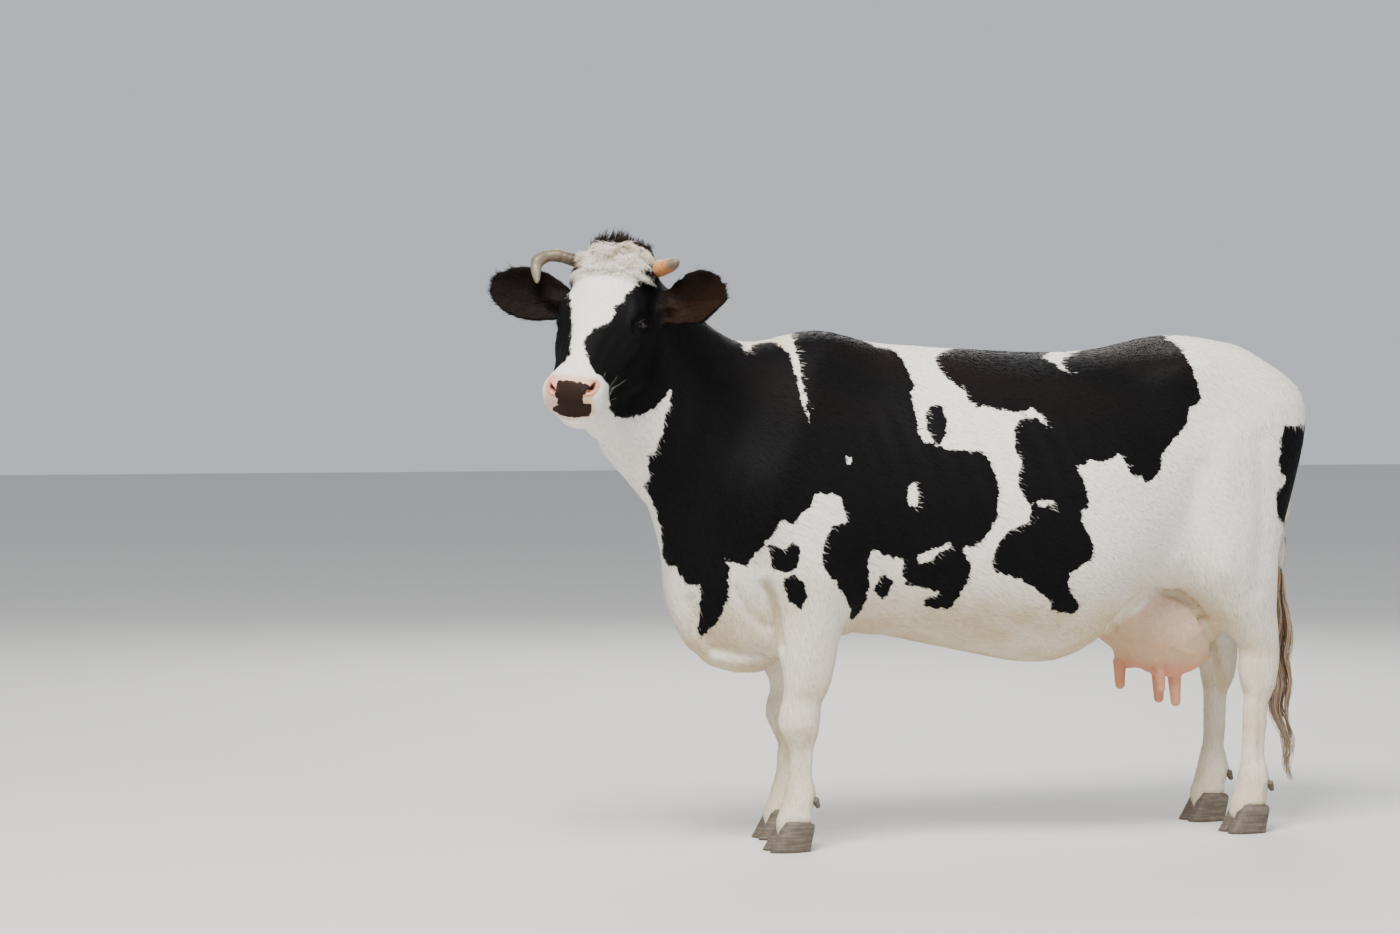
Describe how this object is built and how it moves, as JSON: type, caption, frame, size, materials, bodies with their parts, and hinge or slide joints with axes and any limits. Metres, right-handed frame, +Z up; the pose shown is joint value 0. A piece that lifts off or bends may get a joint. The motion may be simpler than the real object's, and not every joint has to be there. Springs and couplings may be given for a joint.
{
  "type": "cow",
  "caption": "Horned black-and-white dairy cow standing square on its hooves, head raised and turned to its left, mouth closed.",
  "frame": {"origin": "on the floor, under the middle of the cow's bounding box", "axes": "+Z up; the body faces -X, so +X runs back to the tail; the cow's left side faces -Y"},
  "size_m": [2.3986, 0.8163, 1.6389],
  "materials": {
    "coat": "short lying hair, black patches on cream white",
    "bare_skin": "thin-haired pink skin",
    "horn": "smooth grey-olive horn, ringed at the base",
    "hoof": "dull horn with fine grain",
    "eye": "wet and glossy"
  },
  "bodies": {
    "root": {"head": "coat", "neck": "coat", "trunk": "coat", "foreleg_left": "coat", "foreleg_right": "coat", "hindleg_left": "coat", "hindleg_right": "coat", "tail": "coat", "tail_switch": "coat", "ear_left": "coat", "ear_right": "coat", "udder": "bare_skin", "horn_left": "horn", "horn_right": "horn", "eye_left": "eye", "eye_right": "eye", "hoof_fore_left": "hoof", "hoof_fore_right": "hoof", "hoof_hind_left": "hoof", "hoof_hind_right": "hoof"}
  },
  "joints": []
}
